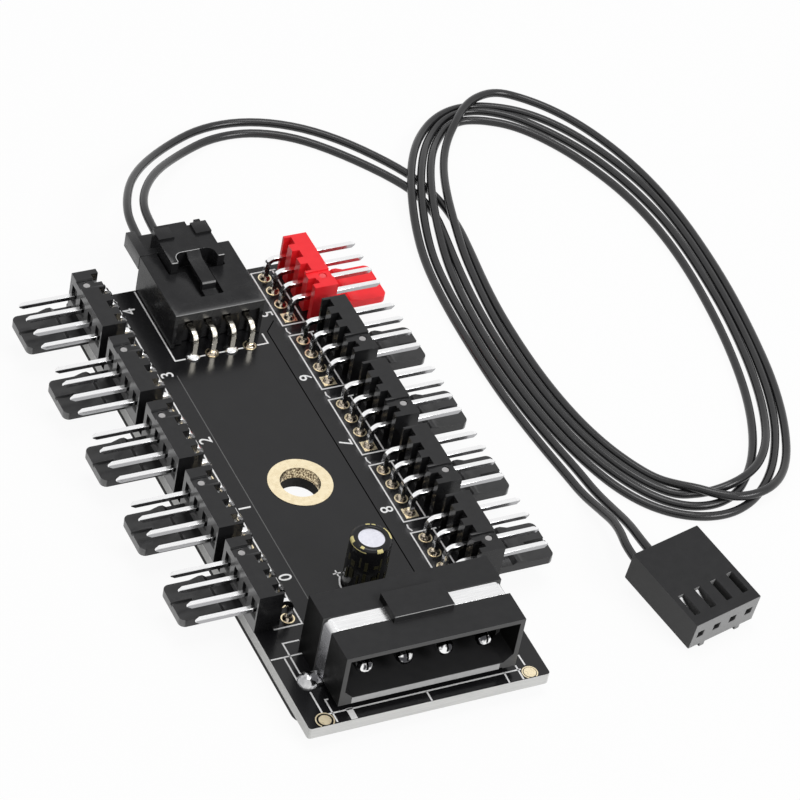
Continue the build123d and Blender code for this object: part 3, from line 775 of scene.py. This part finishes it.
# A painted highlight on the top-front edges of the plug.
dress(catch_light(plug_black, (0.2, 0.2, 0.2)), "control_plug_housing")
crisp_edges(0.07, "control_plug_housing")
dress(bright_tin, "control_plug_terminals")
warm_tin = drawn_metal("warm_tin", (0.86, 0.80, 0.66), (1.0, 0.97, 0.90), 0.14, 0.26, (2.0, 2.0, 0.3))
dress(warm_tin, "control_header_pins")
soften_edges(0.05, "control_header_pins")

LATCH_FRONT = 33.5
LATCH_TOP = 10.1
LATCH_HALF = 3.5
LEG_HALF = 2.75
OPENING_HALF = 2.65
OPENING_BACK = 35.3
OPENING_ROUND = 1.08
leg_line = LATCH_FRONT + 0.05
# Painted highlights: pale lines along the front edges of the latch legs and round the latch opening.
latch_highlight = bmesh.new()
for side in (-1, 1):
    leg = [(side * LATCH_HALF, leg_line), (side * LEG_HALF, leg_line)]
    printed_stroke(latch_highlight, leg, 0.16, LATCH_TOP * MM)
bend = (OPENING_ROUND - OPENING_HALF, OPENING_BACK - OPENING_ROUND)
opening = [
    (-OPENING_HALF, LATCH_FRONT + 0.2),
    *rounded(bend, OPENING_ROUND, 180, 90),
    (0.9, OPENING_BACK),
]
printed_stroke(latch_highlight, opening, 0.09, LATCH_TOP * MM)
hub_piece("latch_highlight", latch_highlight, pale_highlight)

BLOB_PLACES = ((-3.81, 24.1), (1.27, 24.1))
BLOB_RADIUS = 0.95
BLOB_HEIGHT = 0.55
quarter = rounded((0, 0), 1.0, 0, 90)
crown = [(BLOB_RADIUS * out, BOARD_TOP_MM + BLOB_HEIGHT * up) for out, up in quarter]
blobs = bmesh.new()
for spot in BLOB_PLACES:
    turned(blobs, spot, [(0.0, BOARD_TOP_MM), *crown])
white_solder = melted_solder("white_solder", (0.86, 0.86, 0.87), (1.0, 1.0, 1.0), 0.4 * MM, 0.03 * MM)
shade_smooth(hub_piece("control_blobs", blobs, white_solder))

# Far plug: a four-way female fan plug of black nylon, lying a little tilted beside the board.
# Two of its four ways hold a crimped contact.

# Painted light on the far plug: its front faces and side faces are painted lighter than the body.
dress(frosted_nylon("plug_nylon", front=0.32, sides=0.08), "far_plug_housing")
soften_edges(0.12, "far_plug_housing")
dress(bright_tin, "far_plug_terminals")

# Control lead: two thin stranded wires in soft black vinyl, from the latched plug to the far plug.
# The pair is wound into a loose oval coil of about two and a quarter turns that lies on the surface.

WIRE_DIAMETER = 1.1
VINYL_DARK = (0.010, 0.010, 0.011)
VINYL_LIGHT = (0.017, 0.017, 0.018)
OUTER_WAY = -3.81
INNER_WAY = -1.27
PLUG_MIDDLE_Z = 6.35
PLUG_INSIDE = 35.2
COIL_CENTRE = Vector((51.8, 23.0))
COIL_HALF_WIDTH = 17.0
COIL_HALF_LENGTH = 38.7
COIL_TURN = -2.5
COIL_STEP = 9.0
FAR_PLUG_LENGTH = 12.3
FAR_PLUG_TILT = math.radians(6)
FAR_PLUG_TURN = math.radians(13)
FAR_PLUG_PLACE = (38.2, -29.3, FAR_PLUG_LENGTH / 2 * math.sin(FAR_PLUG_TILT))
FAR_WIRE_END = 3.75
FAR_WIRE_Z = 2.75
on_floor = WIRE_DIAMETER / 2
far_plug_pose = (Matrix.Translation(FAR_PLUG_PLACE) @ Matrix.Rotation(FAR_PLUG_TURN, 4, "Z")
                 @ Matrix.Rotation(FAR_PLUG_TILT, 4, "X"))


def in_far_plug(x, y):
    """A point at the height of the wires in the far plug, given in the plug's own millimetres."""
    return far_plug_pose @ Vector((x, y, FAR_WIRE_Z))


def coil_point(degrees, lane, layer):
    """A point at an angle around the coil's oval, so far outside its line and so many layers up."""
    angle = math.radians(degrees)
    outward = Vector((math.cos(angle) / COIL_HALF_WIDTH, math.sin(angle) / COIL_HALF_LENGTH)).normalized()
    flat = Vector((COIL_HALF_WIDTH * math.cos(angle), COIL_HALF_LENGTH * math.sin(angle))) + outward * lane
    flat.rotate(Matrix.Rotation(math.radians(COIL_TURN), 2))
    return (*(COIL_CENTRE + flat), WIRE_DIAMETER * (0.5 + layer))


def coil_turns(lay):
    """Points around the coil for a lay of (angle, lane, layer), in even steps of the angle."""
    angles, lanes, layers = zip(*lay)
    steps = round((angles[-1] - angles[0]) / COIL_STEP)
    for degrees in numpy.linspace(angles[0], angles[-1], steps + 1):
        yield coil_point(degrees, numpy.interp(degrees, angles, lanes), numpy.interp(degrees, angles, layers))


def wire_vinyl():
    material, tree, shader, place = new_finish("wire_vinyl")
    mottle = grain(tree, place, 0.9 * MM)
    tree.links.new(two_tones(tree, mottle, VINYL_DARK, VINYL_LIGHT), shader.inputs["Base Color"])
    tree.links.new(between(tree, mottle, 0.2, 0.28), shader.inputs["Roughness"])
    relief(tree, shader, grain(tree, place, 0.12 * MM), 0.004 * MM)
    return material


vinyl = wire_vinyl()


def lead_wire(name, way, points, *tubes):
    """One wire of the lead as a single smooth line, out of a way of the latched plug; the way argument is not
    used.
    """
    line = bpy.data.curves.new(name, "CURVE")
    line.dimensions = "3D"
    line.bevel_depth = WIRE_DIAMETER / 2 * MM
    line.bevel_resolution = 4
    line.resolution_u = 6
    line.use_fill_caps = True
    spline = line.splines.new("NURBS")
    spline.points.add(len(points) - 1)
    for knot, point in zip(spline.points, points):
        knot.co = (*(Vector(point) * MM), 1)
    spline.order_u = 3
    spline.use_endpoint_u = True
    line.materials.append(vinyl)
    wire = bpy.data.objects.new(name, line)
    bpy.context.scene.collection.objects.link(wire)
    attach(wire, "root")
    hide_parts(*tubes)


# Each row of a lay is an angle around the coil in degrees, how far outside the oval's line the wire runs there,
# and whether it lies on the floor or over another turn.
first_lay = [
    (134, 2.6, 0), (141, -1.0, 0), (148, -3.2, 0), (163, -4.2, 0), (190, -3.9, 0), (220, -2.9, 0),
    (245, -2.6, 0), (257, -2.4, 1), (270, -0.8, 1), (280, 1.1, 1), (290, 2.4, 1), (302, 2.65, 0),
    (320, 2.1, 0), (345, 1.4, 0), (365, 1.75, 0), (390, 2.85, 0), (420, 3.4, 0), (433, 3.6, 0),
    (441, 3.1, 0.6), (445, 2.1, 1), (450, 1.1, 1), (460, -0.6, 1), (468, -1.5, 1), (480, -1.9, 0.35),
    (490, -2.2, 0.5), (503, -2.5, 1), (510, -2.75, 1), (520, -2.95, 0.3), (530, -3.1, 0), (550, -2.64, 0),
    (570, -1.96, 0), (590, -1.25, 0), (605, -1.15, 0), (612, -1.3, 0), (620, -2.2, 0), (625, -2.4, 0),
    (635, -2.0, 0.8), (645, -1.5, 1), (655, -0.7, 1), (665, -0.35, 0.9), (680, -0.3, 0), (700, -0.7, 0),
    (720, -0.65, 0), (740, -0.15, 0), (760, -0.5, 0), (780, -1.2, 0), (800, -0.75, 0), (812, -0.1, 0),
    (820, 0.4, 0), (830, 0.65, 0), (840, 0.6, 0), (850, 0.6, 1), (867, 0.95, 1), (880, 1.2, 0),
    (900, 0.95, 0), (920, 1.54, 0), (930, 2.04, 0), (940, 2.7, 0), (945, 3.3, 0),
]
first_wire = [
    (OUTER_WAY, PLUG_INSIDE, PLUG_MIDDLE_Z), (OUTER_WAY, 44.7, PLUG_MIDDLE_Z), (-2.3, 50.4, 5.7),
    (1.6, 57.2, 3.9), (8.6, 63.9, 1.2),
    (16.4, 67.6, on_floor), (24.4, 66.8, on_floor), (32.0, 62.0, on_floor),
    *coil_turns(first_lay),
    (35.8, -9.3, 0.75), (35.9, -13.4, 1.75), (35.7, -17.8, 3.3),
    in_far_plug(INNER_WAY, 7.55), in_far_plug(INNER_WAY, FAR_WIRE_END),
]
second_lay = [
    (138.7, 2.6, 0), (143, 0.6, 0), (147, -0.7, 0), (152, -1.35, 0), (163, -1.6, 0), (180, -1.55, 0),
    (190, -1.34, 0), (200, -1.06, 0), (210, -0.62, 0), (220, -0.12, 0), (240, 0.45, 0), (250, 0.6, 0),
    (260, 0.2, 0), (270, -0.4, 0), (280, -0.8, 0), (290, -1.35, 0), (300, -1.6, 0), (320, -2.06, 0),
    (340, -2.44, 0), (355, -2.35, 0), (370, -1.95, 0), (385, -1.8, 0), (400, -2.35, 0), (420, -2.85, 0),
    (435, -2.8, 0), (445, -2.65, 0), (455, -1.9, 0), (462, -1.0, 0), (470, -0.5, 0), (480, -0.5, 0),
    (492, -0.5, 1), (511, -0.5, 1), (524, -0.42, 0), (540, -0.25, 0), (550, -0.06, 0), (560, 0.24, 0),
    (570, 0.72, 0), (580, 1.24, 0), (600, 2.3, 0), (610, 2.25, 0), (620, 1.9, 0), (630, 1.7, 0),
    (640, 1.4, 0), (650, 1.15, 0), (670, 0.95, 0), (680, 1.0, 0), (690, 0.72, 0), (700, 0.5, 0),
    (710, 0.4, 0), (720, 0.55, 0), (730, 0.9, 0), (740, 1.3, 0), (750, 1.5, 0), (760, 1.2, 0),
    (780, 0.9, 0), (795, 0.6, 0), (805, 0.5, 0), (815, 1.1, 0), (825, 1.6, 0), (840, 1.75, 0.3),
    (850, 1.95, 1), (865, 2.2, 1), (880, 2.45, 0), (900, 2.3, 0), (910, 2.42, 0), (920, 2.9, 0),
    (930, 3.5, 0), (940, 4.4, 0), (945, 5.1, 0),
]
second_wire = [
    (INNER_WAY, PLUG_INSIDE, PLUG_MIDDLE_Z), (INNER_WAY, 44.5, PLUG_MIDDLE_Z), (-0.3, 50.2, 5.9),
    (4.0, 56.4, 4.2), (10.4, 62.0, 1.5),
    (16.8, 65.2, on_floor), (23.3, 64.7, on_floor), (29.8, 60.6, on_floor),
    *coil_turns(second_lay),
    (34.1, -9.3, 0.75), (34.4, -13.4, 1.8), (34.2, -17.8, 3.4),
    in_far_plug(OUTER_WAY, 7.75), in_far_plug(OUTER_WAY, FAR_WIRE_END),
]
lead_wire("lead_wire_a", OUTER_WAY, first_wire, "hub_wire_a", "far_wire_b", "lead_coil")
lead_wire("lead_wire_b", INNER_WAY, second_wire, "hub_wire_b", "far_wire_a")

# Studio: a sheet of pale paper for a floor, two soft boxes and a white room, which only light the part.
# The floor lies a hair under the part, and the camera stands where the photograph was taken.

FLOOR_HALF = 3.0
FLOOR_Z = -0.02 * MM
FLOOR_TONE = (0.85, 0.85, 0.85, 1)
FLOOR_WHITE_SHARE = 0.93
corners = [(x * FLOOR_HALF, y * FLOOR_HALF, FLOOR_Z) for x, y in ((-1, -1), (1, -1), (1, 1), (-1, 1))]
floor_mesh = bpy.data.meshes.new("studio_floor")
floor_mesh.from_pydata(corners, [], [(0, 1, 2, 3)])
floor = bpy.data.objects.new("studio_floor", floor_mesh)
bpy.context.scene.collection.objects.link(floor)


def seen_directly(tree):
    """One for rays from the camera, a mirror or glass, and nought for the rest."""
    path = tree.nodes.new("ShaderNodeLightPath").outputs
    mirrored = reckon(tree, "MAXIMUM", path["Is Camera Ray"], path["Is Glossy Ray"])
    return reckon(tree, "MAXIMUM", mirrored, path["Is Transmission Ray"])


def floor_paper():
    material, tree, shader, place = new_finish("floor_paper")
    shader.inputs["Base Color"].default_value = FLOOR_TONE
    shader.inputs["Roughness"].default_value = 0.9
    shader.inputs["Specular IOR Level"].default_value = 0.0
    glow = tree.nodes.new("ShaderNodeEmission")
    blend = tree.nodes.new("ShaderNodeMixShader")
    tree.links.new(reckon(tree, "MULTIPLY", seen_directly(tree), FLOOR_WHITE_SHARE), blend.inputs[0])
    tree.links.new(shader.outputs["BSDF"], blend.inputs[1])
    tree.links.new(glow.outputs["Emission"], blend.inputs[2])
    tree.links.new(blend.outputs["Shader"], tree.nodes["Material Output"].inputs["Surface"])
    return material


floor_mesh.materials.append(floor_paper())

ROOM_LEVEL = 0.5
ROOM_WHITE = (1.0, 1.0, 1.0)
CEILING_TONE = (0.9, 0.9, 0.9)
world = bpy.data.worlds.new("studio_room")
bpy.context.scene.world = world
world.use_nodes = True
tree = world.node_tree
room = tree.nodes["Background"]
upward = part_along(tree, tree.nodes.new("ShaderNodeTexCoord").outputs["Generated"], "Z")
ceiling = between(tree, upward, 0.0, 1.0, start=0.15, end=0.6)
tree.links.new(two_tones(tree, ceiling, ROOM_WHITE, CEILING_TONE), room.inputs["Color"])
strength = between(tree, seen_directly(tree), ROOM_LEVEL, 1.0, start=0.0, end=1.0)
tree.links.new(strength, room.inputs["Strength"])


def soft_light(name, place, target, size, power):
    """A soft box of this size, in metres, that faces a point of the part."""
    lamp = bpy.data.lights.new(name, "AREA")
    lamp.shape = "RECTANGLE"
    lamp.size = size[0]
    lamp.size_y = size[1]
    lamp.energy = power
    light = bpy.data.objects.new(name, lamp)
    bpy.context.scene.collection.objects.link(light)
    light.location = place
    light.rotation_euler = (Vector(target) - Vector(place)).to_track_quat("-Z", "Y").to_euler()


PART_MIDDLE = (0.02, 0.015, 0.005)
soft_light("top_box", (0.05, 0.1, 0.7), PART_MIDDLE, (0.36, 0.36), 1.6)
soft_light("front_box", (0.38, -0.6, 0.57), PART_MIDDLE, (0.4, 0.3), 3.0)

PHOTO_PIXELS = 800
FOCAL_PIXELS = 4507.42
SENSOR_WIDTH = 36.0
EYE_PLACE = Vector((-204.75, -336.01, 370.99))
VIEW_RIGHT = Vector((0.89661, -0.41619, 0.15127)).normalized()
VIEW_FORWARD = Vector((0.40344, 0.62688, -0.66653)).normalized()
eye = bpy.data.cameras.new("photo_camera")
eye.sensor_fit = "HORIZONTAL"
eye.sensor_width = SENSOR_WIDTH
eye.lens = FOCAL_PIXELS / PHOTO_PIXELS * SENSOR_WIDTH
eye.clip_start = 0.01
eye.clip_end = 20.0
camera = bpy.data.objects.new("photo_camera", eye)
bpy.context.scene.collection.objects.link(camera)
turn = Matrix((VIEW_RIGHT, VIEW_RIGHT.cross(VIEW_FORWARD), -VIEW_FORWARD)).transposed()
camera.matrix_world = Matrix.Translation(EYE_PLACE * MM) @ turn.to_4x4()
bpy.context.scene.camera = camera
bpy.context.scene.view_settings.view_transform = "Standard"
